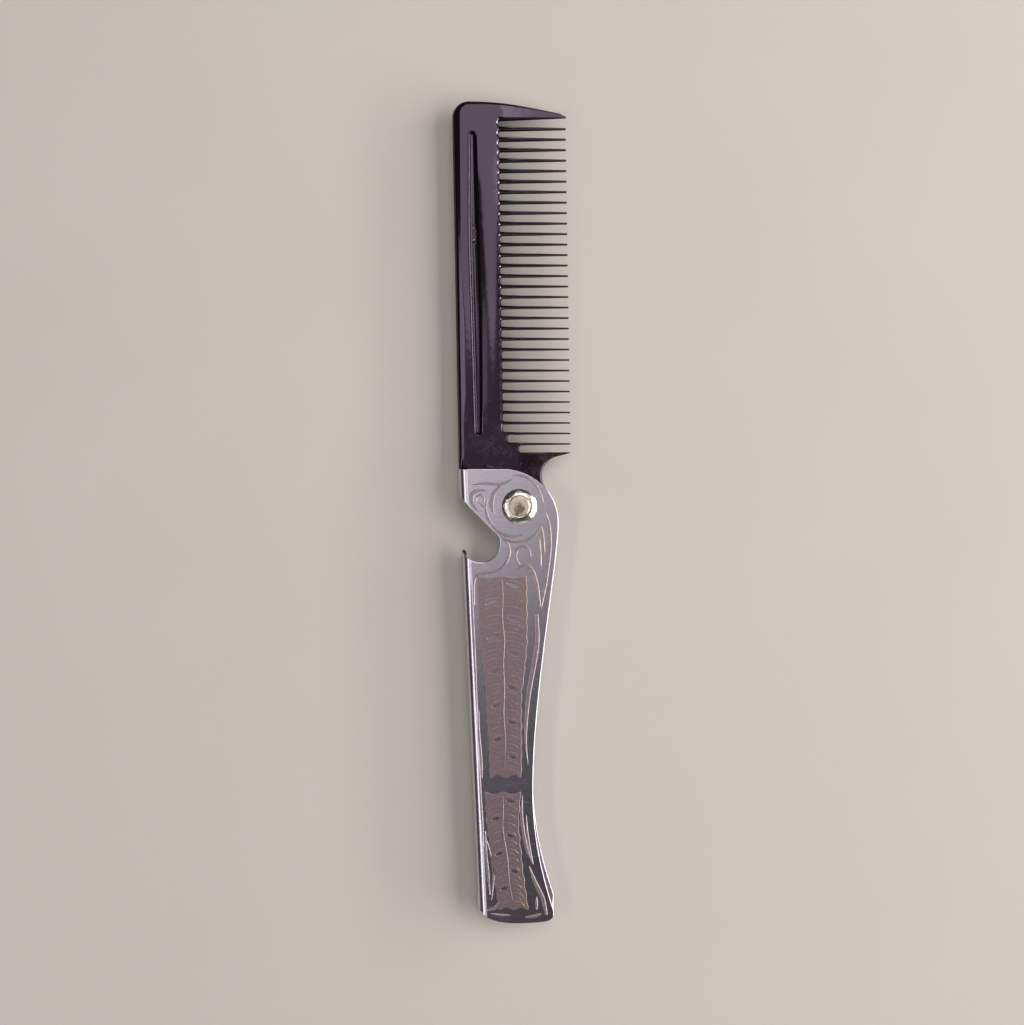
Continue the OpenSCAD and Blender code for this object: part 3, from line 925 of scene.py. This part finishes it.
cornerStrokes = {
    "flourish": ([(-12.4, 5.7), (-9, 6.1), (-5.5, 5.9), (-3.4, 6.4), (-1.8, 7.2)], (0.2, 0.9, 0.2)),
    "branch": ([(-4.6, 5.8), (-6.6, 3.6), (-7.3, 1.6), (-7.2, -0.6), (-6.6, -2)], (0.5, 1.2, 0.3)),
    "scrollBack": ([(-9, 4.2), (-11.2, 4.2), (-12.6, 2.8), (-12.4, 0.6), (-10.8, -1.1)], (0.3, 1.2, 0.4)),
    "scrollCurl": ([(-11.4, 1), (-11.3, 2.4), (-10.2, 3), (-9.4, 2.2), (-9.3, 1.2)], (0.2, 0.5, 0.25)),
    "leafLow": ([(-10.9, 1.2), (-9.7, 0.2), (-8.7, -1.2)], (0.2, 0.7, 0.3)),
    "leafHigh": ([(-8.3, 2), (-8.9, 0.4), (-8.7, -1.2)], (0.2, 0.6, 0.3)),
    "stem": ([(-8.7, -1.2), (-8.3, -3.2), (-7.2, -5)], (0.5, 0.8, 0.4)),
    "innerArc": ([(-7.7, -3.8), (-6.6, -5.6), (-4.6, -7.2), (-1.9, -7.9), (1.1, -7.5)], (0.3, 0.9, 0.25)),
    "outerArc": ([(-5.4, -7.7), (-3.2, -8.9), (-0.7, -9.3), (3.1, -8.4), (5.7, -5.9)], (0.25, 0.9, 0.3)),
    "rightArc": ([(-1.9, 8.2), (1.2, 8), (3.6, 6.4), (5.4, 3.8), (6.5, 0.8)], (0.2, 0.75, 0.2)),
    "rightSweep": ([(7.1, -1.8), (7.9, -5), (8.1, -10.2), (7.6, -15.3), (7, -20.6), (5.8, -27.2)],
                   (0.2, 1.1, 0.15)),
    "longSpike": ([(5.8, -5.4), (6.3, -8.6), (6.7, -12.4)], (0.5, 0.7, 0.15)),
    "shortSpike": ([(5.3, -8.6), (5.5, -12), (5.8, -16)], (0.3, 0.6, 0.15)),
    "curlOpen": ([(0.2, -15.6), (-0.9, -13.6), (-0.6, -11.6), (1, -10.5), (2.5, -11.4), (3.1, -13.3)],
                 (0.4, 0.75, 0.2)),
    "crook": ([(-0.8, -16.9), (0.6, -15.8), (2.2, -15.8), (3.6, -17.4), (4.8, -21.2), (5.6, -26.6)],
              (0.25, 1, 0.35)),
    "leftSweep": ([(-4.7, -8.3), (-2.9, -10), (-2.6, -12.6), (-3.6, -15), (-5.6, -16.9), (-9, -17.6),
                   (-11.4, -18.6), (-12.1, -21), (-11.9, -26)], (0.3, 0.7, 0.35)),
    "leftSprig": ([(-3, -13.6), (-3.6, -15.2), (-4.4, -16.4)], (0.3, 0.6, 0.2)),
    "leftBorder": ([(-12.7, -19.6), (-12.5, -27), (-11.8, -41), (-11.1, -56)], (0.25, 0.75, 0.2)),
    "leftRail": ([(-10.8, -54), (-10.7, -60), (-10.1, -67), (-9.9, -72)], (0.3, 0.6, 0.3)),
    "lowerBorder": ([(-10.6, -68), (-10.3, -76), (-9.8, -84), (-9.4, -91.2)], (0.2, 0.6, 0.15)),
    "rightBorder": ([(4.6, -28.6), (4.8, -35), (4.2, -40), (3.1, -46), (2.3, -51), (1.8, -57),
                     (1.7, -62.5), (2.3, -68.4)], (0.9, 1.1, 0.15)),
    "reedInner": ([(0.8, -76.6), (0.7, -83), (1.8, -90), (3.5, -94.6)], (0.15, 0.9, 0.3)),
    "reedOuter": ([(1.8, -81.8), (2.3, -88), (3.6, -94.8)], (0.15, 0.6, 0.3)),
    "cornerReed": ([(2.6, -95.4), (4.2, -99.6), (6.2, -104), (7.2, -108.2)], (0.2, 1.1, 0.6)),
    "cornerInner": ([(4.6, -103.4), (4.6, -106.8)], (0.2, 0.6, 0.4)),
    "cornerFoot": ([(1.6, -108.9), (4, -108.6), (5.8, -108)], (0.3, 0.8, 0.3)),
    "footLeft": ([(-8.6, -107), (-6.2, -106.2), (-4.6, -103.8)], (0.3, 1, 0.3)),
    "footRail": ([(-7.6, -107.9), (-5, -108.3), (-2.2, -108.3)], (0.2, 0.6, 0.2)),
    "footReed": ([(-9, -86), (-8.8, -92), (-8.2, -98), (-7.8, -103)], (0.2, 0.7, 0.2)),
    "footReedInner": ([(-8.6, -88.5), (-7.2, -94), (-6.8, -98), (-7.4, -104.5)], (0.2, 0.6, 0.2)),
}

# Each panel is a raised band, wider at the top, with rows of barbs either side of a vein, like a feather.
panels = {
    "upper": {"top": -18.4, "bottom": -72, "rows": 22,
              "left": ([-72, -49, -40, -30, -18.4], [-7.7, -8.9, -10, -10.7, -11.3]),
              "right": ([-72, -49, -46, -36, -18.4], [0.6, 0.6, 1.2, 2.1, 2])},
    "lower": {"top": -75.6, "bottom": -107, "rows": 12,
              "left": ([-107, -96, -84, -75.6], [-5.4, -7, -8.7, -9.1]),
              "right": ([-107, -96, -84, -75.6], [2.4, 0.9, -0.2, 0.4])},
}


def lensLoop(middle, halfLength, halfWidth, tilt, steps=8):
    turn = radians(tilt)
    places = [2 * i / steps - 1 for i in range(steps + 1)]
    flat = [(halfLength * t, halfWidth * (1 - abs(t) ** 2.2)) for t in places]
    flat += [(x, -y) for x, y in reversed(flat[1:-1])]
    c, s = cos(turn), sin(turn)
    return [(middle[0] + x * c - y * s, middle[1] + x * s + y * c) for x, y in flat]


def panelEdge(panel, key, y):
    return float(np.interp(y, *panel[key]))


# A wavy outline: the ends are scalloped between the middle and the sides.
def panelOutline(panel):
    top, bottom = panel["top"], panel["bottom"]
    outline = []
    for y, sign, order in ((top, -1, 1), (bottom, 1, -1)):
        leftX, rightX = panelEdge(panel, "left", y), panelEdge(panel, "right", y)
        places = [i / 16 for i in range(17)][::order]
        outline += [(leftX + (rightX - leftX) * t, y + sign * 0.75 * sin(2 * pi * t) ** 2)
                    for t in places]
        if y == top:
            outline += [(panelEdge(panel, "right", h) + 0.14 * sin(1.7 * h), h)
                        for h in np.linspace(top - 0.8, bottom + 0.8, 60)]
    outline += [(panelEdge(panel, "left", h) + 0.14 * sin(1.9 * h), h)
                for h in np.linspace(bottom + 0.8, top - 0.8, 60)]
    return outline


# Evenly spaced barbs: the row, the side of the vein (-1 or 1), the vein's x, the barb's end and its height.
def panelRows(panel):
    pitch = (panel["top"] - panel["bottom"] - 3.6) / panel["rows"]
    for row in range(panel["rows"] + 1):
        y = panel["top"] - 1.7 - row * pitch
        leftX, rightX = panelEdge(panel, "left", y) + 0.7, panelEdge(panel, "right", y) - 0.7
        for side, endX in ((-1, leftX), (1, rightX)):
            yield row, side, (leftX + rightX) / 2, endX, y


# Long barbs bow out from the vein, with short ones between them where the band isn't cut open.
def addPanelRibs(plate, panel):
    vein = []
    for row, side, veinX, endX, y in panelRows(panel):
        rootX = veinX + 0.4 * side
        reach = endX - rootX
        addStroke(plate, [(rootX, y + 0.5), (rootX + reach * 0.4, y + 0.35), (rootX + reach * 0.75, y - 0.1),
                          (endX, y - 0.85)], (0.22, 0.46, 0.2), lift=scroll["rib"])
        if (row + side) % 4 != 1 and row < panel["rows"]:
            addStroke(plate, [(rootX + reach * 0.2, y - 0.7), (rootX + reach * 0.5, y - 0.9),
                              (rootX + reach * 0.8, y - 1.5)], (0.16, 0.34, 0.14), lift=scroll["rib"] * 0.8)
        if side < 0:
            vein.append((veinX + 0.16 * sin(1.1 * row), y + 0.5))
    addStroke(plate, vein, (0.3, 0.42, 0.2), lift=scroll["rib"] * 0.7)


# Slender openings down to the steel, between the barbs on one side and then the other.
def panelOpenings(panel):
    return [lensLoop(((veinX + endX) / 2, y - 0.85), abs(endX - veinX) * 0.32, 0.42, -19 * side)
            for row, side, veinX, endX, y in panelRows(panel)
            if (row + side) % 4 == 1 and row < panel["rows"]]


def buildScrollwork():
    plate = newPlate()
    for i, (points, widths) in enumerate(cornerStrokes.values()):
        addStroke(plate, points, widths, lift=0.002 * (i % 4))
    for panel in panels.values():
        addPanelRibs(plate, panel)
    strokes = makePiece("scroll_strokes", plate, [etched], "handle")
    strokes.data.set_sharp_from_angle(angle=radians(20))
    bands = newPlate()
    for panel in panels.values():
        addPanel(bands, panelOutline(panel), panelOpenings(panel))
    makePiece("scroll_panel", bands, [etched], "handle")


buildScrollwork()
print("scrollwork laid")


# The rivet: turned pieces about the pivot axis.
rivetSize = {
    "frontRadius": capHigh.x, "frontTop": capHigh.z, "discRadius": 2.7, "step": 0.13, "dimpleRadius": 0.8,
    "dimpleDepth": 0.14, "pin": 1.15, "rearRadius": postHigh.x, "shank": 2.15, "segments": 96,
}


def turnedPiece(name, profile, replaced):
    plate = newPlate()
    count = rivetSize["segments"]
    rings = []
    for radius, z in profile:
        ring = circleLoop((0, 0), radius, count) if radius else [(0, 0)]
        rings.append([addPoint(plate, np.array((x, y, z))) for x, y in ring])
    for a, b in zip(rings, rings[1:]):
        for i in range(count):
            j = (i + 1) % count
            face = [a[i % len(a)], a[j % len(a)], b[j % len(b)], b[i % len(b)]]
            addFace(plate, dict.fromkeys(face))
    piece = makePiece(name, plate, [rivet], "handle", [replaced])
    piece.data.set_sharp_from_angle(angle=radians(38))


def frontHeadProfile():
    radius, top, disc, pin = (rivetSize[key] for key in ("frontRadius", "frontTop", "discRadius", "pin"))
    pinEnd = postLow.z + 1.4
    rim = frontZ + 0.28
    domeTop = top - rivetSize["step"]
    profile = [(0, pinEnd), (pin - 0.2, pinEnd), (pin, pinEnd + 0.2), (pin, frontZ), (radius - 0.12, frontZ),
               (radius, frontZ + 0.1), (radius, rim - 0.04)]
    for i in range(13):
        t = 1 - i / 12
        profile.append((disc + 0.16 + (radius - disc - 0.2) * t, domeTop - (domeTop - rim) * t ** 1.75))
    profile += [(disc + 0.1, domeTop - 0.03), (disc + 0.04, domeTop), (disc, domeTop + 0.05)]
    profile += [(disc - 0.03, top - 0.06), (disc - 0.1, top - 0.015), (disc - 0.25, top)]
    dimple, depth = rivetSize["dimpleRadius"], rivetSize["dimpleDepth"]
    profile += [(dimple + 0.25, top), (dimple + 0.08, top - 0.02), (dimple, top - 0.07),
                (dimple * 0.72, top - depth * 0.7), (dimple * 0.4, top - depth * 0.95), (0, top - depth)]
    return profile


def rearHeadProfile():
    radius, shank, bore = rivetSize["rearRadius"], rivetSize["shank"], rivetSize["pin"] + 0.02
    profile = [(0, postLow.z), (radius - 0.42, postLow.z)]
    for i in range(1, 7):
        a = radians(90 * i / 6)
        profile.append((radius - 0.42 + 0.42 * sin(a), postLow.z + 0.34 * (1 - cos(a))))
    return profile + [(radius, rearZ), (shank, rearZ), (shank, frontZ - 0.05), (shank - 0.15, frontZ),
                      (bore, frontZ), (bore, postLow.z + 1.3), (0, postLow.z + 1.3)]


turnedPiece("rivet_head", frontHeadProfile(), "pivot_cap")
turnedPiece("rivet_tail", rearHeadProfile(), "pivot_post")
for washerNode in ("front_washer", "rear_washer"):
    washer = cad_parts[washerNode]
    washer.data.materials.clear()
    washer.data.materials.append(nylon)
print("rivet and washers done")


view = {"x": -1.93, "y": -1.62, "distance": 330, "lens": 43.78, "sensor": 36}


def buildFloor():
    mesh = bpy.data.meshes.new("floor")
    work = bmesh.new()
    bmesh.ops.create_grid(work, x_segments=8, y_segments=8, size=3.0)
    work.to_mesh(mesh)
    work.free()
    mesh.materials.append(paleFloor())
    floor = addObject("floor", mesh)
    floor.location = (0, 0, postLow.z * mm - 0.0001)


# Lights are given by where they stand, what they face, their size, and how bright their face is.
softboxes = {
    "topBox": {"at": (-0.03, 0.62, 1), "aim": (-0.03, 0.05, 0), "size": (0.36, 0.98), "glow": 2.3,
               "shape": "ELLIPSE"},
    "overhead": {"at": (-0.06, 0.10, 1.6), "aim": (-0.06, 0.10, 0), "size": (0.5, 0.46), "glow": 0.44},
    "topRight": {"at": (0.32, 0.60, 1), "aim": (0, 0.05, 0), "size": (0.34, 0.7), "glow": 2.2},
    "leftInner": {"at": (-0.40, 0.06, 1.15), "aim": (-0.40, 0.06, 0), "size": (0.52, 0.36), "glow": 1.1},
    "leftFoot": {"at": (-0.46, -0.37, 1.15), "aim": (-0.46, -0.37, 0), "size": (0.34, 0.46), "glow": 1.3},
    "leftBox": {"at": (-0.80, -0.32, 0.88), "aim": (0, -0.32, 0), "size": (1.26, 0.22), "glow": 3},
    "rightBox": {"at": (1.15, 0, 0.62), "aim": (0, 0, 0), "size": (1.6, 0.8), "glow": 4.8},
    "lowRight": {"at": (1.5, 0.05, 0.30), "aim": (0, 0.05, 0), "size": (1.6, 0.13), "glow": 20},
    "frontBox": {"at": (0.2, -1.7, 0.42), "aim": (0, 0, 0), "size": (1.6, 0.5), "glow": 0.8},
}


def addSoftbox(name, box):
    light = bpy.data.lights.new(name, "AREA")
    light.shape = box.get("shape", "RECTANGLE")
    light.size, light.size_y = box["size"]
    area = light.size * light.size_y * (pi / 4 if light.shape == "ELLIPSE" else 1)
    light.energy = box["glow"] * pi * area
    lamp = addObject(name, light)
    lamp.location = box["at"]
    aim = Vector(box["aim"]) - lamp.location
    lamp.rotation_euler = aim.to_track_quat("-Z", "Y").to_euler()


def buildWorld():
    world = bpy.data.worlds.new("studio")
    world.use_nodes = True
    background = world.node_tree.nodes["Background"].inputs
    background["Color"].default_value = (0.96, 0.97, 1, 1)
    background["Strength"].default_value = 0.035
    bpy.context.scene.world = world


def buildCamera():
    camera = bpy.data.cameras.new("camera")
    camera.sensor_fit = "HORIZONTAL"
    camera.sensor_width = view["sensor"]
    camera.lens = view["lens"]
    camera.clip_start = 0.01
    holder = addObject("camera", camera)
    holder.location = (view["x"] * mm, view["y"] * mm, (frontZ + view["distance"]) * mm)
    bpy.context.scene.camera = holder


buildFloor()
for boxName, softbox in softboxes.items():
    addSoftbox(boxName, softbox)
buildWorld()
buildCamera()
bpy.context.scene.view_settings.view_transform = "Standard"
print("studio set")
